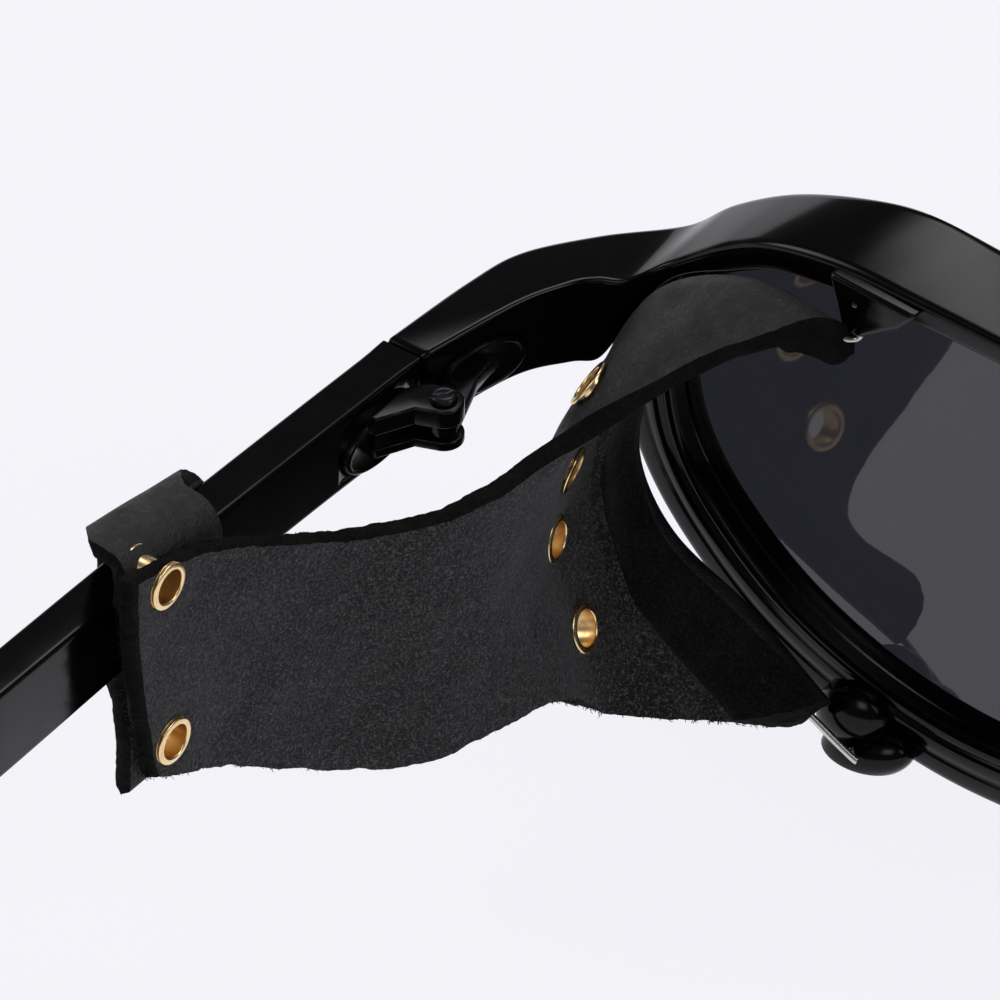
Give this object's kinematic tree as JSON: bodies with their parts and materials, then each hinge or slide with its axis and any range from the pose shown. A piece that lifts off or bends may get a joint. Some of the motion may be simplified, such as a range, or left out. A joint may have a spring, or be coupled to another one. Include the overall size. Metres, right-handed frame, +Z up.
{
  "type": "sunglasses with leather side shields",
  "caption": "Round-lens sunglasses with folding temples, riveted leather side shields with brass-eyelet vents, spring-wire hems and leather loops round the temples",
  "frame": {"origin": "middle of the overall box on the plane that the rims and temple tips rest on", "axes": "+Z up, +Y the way the wearer looks, +X to the wearer's right"},
  "size_m": [0.1546, 0.1556, 0.0479],
  "materials": {
    "gloss_black": "polished black moulding with broad soft highlights",
    "tinted_lens": "very dark grey tint, polished both sides",
    "black_metal": "black hinge metal worn bright along its edges",
    "eyelet_brass": "bright rolled brass, darker orange inside the barrels",
    "spring_wire": "silver spring wire",
    "shield_leather": "black leather, fine grain outside, fuzzy suede inside, ragged dark cut edges",
    "strap_leather": "black grain leather with small wrinkles and brown-black edges"
  },
  "bodies": {
    "front": {"frame_front": "gloss_black", "hem_wire_left": "spring_wire", "hem_wire_right": "spring_wire", "hinge_front_leaf_left": "black_metal", "hinge_front_leaf_right": "black_metal", "lens_left": "tinted_lens", "lens_right": "tinted_lens", "shield_panel_left": "shield_leather", "shield_panel_right": "shield_leather", "vent_eyelet_a_left": "eyelet_brass", "vent_eyelet_a_right": "eyelet_brass", "vent_eyelet_b_left": "eyelet_brass", "vent_eyelet_b_right": "eyelet_brass", "vent_eyelet_c_left": "eyelet_brass", "vent_eyelet_c_right": "eyelet_brass", "vent_eyelet_d_left": "eyelet_brass", "vent_eyelet_d_right": "eyelet_brass", "vent_washer_a_left": "eyelet_brass", "vent_washer_a_right": "eyelet_brass", "vent_washer_b_left": "eyelet_brass", "vent_washer_b_right": "eyelet_brass", "vent_washer_c_left": "eyelet_brass", "vent_washer_c_right": "eyelet_brass", "vent_washer_d_left": "eyelet_brass", "vent_washer_d_right": "eyelet_brass"},
    "temple_left": {"temple_left": "gloss_black", "hinge_temple_leaf_left": "black_metal", "hinge_screw_left": "black_metal", "strap_loop_left": "strap_leather", "strap_eyelet_upper_left": "eyelet_brass", "strap_eyelet_lower_left": "eyelet_brass", "strap_washer_upper_left": "eyelet_brass", "strap_washer_lower_left": "eyelet_brass"},
    "temple_right": {"temple_right": "gloss_black", "hinge_temple_leaf_right": "black_metal", "hinge_screw_right": "black_metal", "strap_loop_right": "strap_leather", "strap_eyelet_upper_right": "eyelet_brass", "strap_eyelet_lower_right": "eyelet_brass", "strap_washer_upper_right": "eyelet_brass", "strap_washer_lower_right": "eyelet_brass"}
  },
  "joints": [
    {"name": "temple_left_fold", "type": "hinge", "parent": "front", "child": "temple_left", "pos_m": [-0.06851, 0.05021, 0.0328], "axis": [0, 0, 1], "range_deg": [0, 90], "deforming": ["shield_panel_left"]},
    {"name": "temple_right_fold", "type": "hinge", "parent": "front", "child": "temple_right", "pos_m": [0.06851, 0.05021, 0.0328], "axis": [0, 0, -1], "range_deg": [0, 72], "deforming": ["shield_panel_right"]}
  ]
}
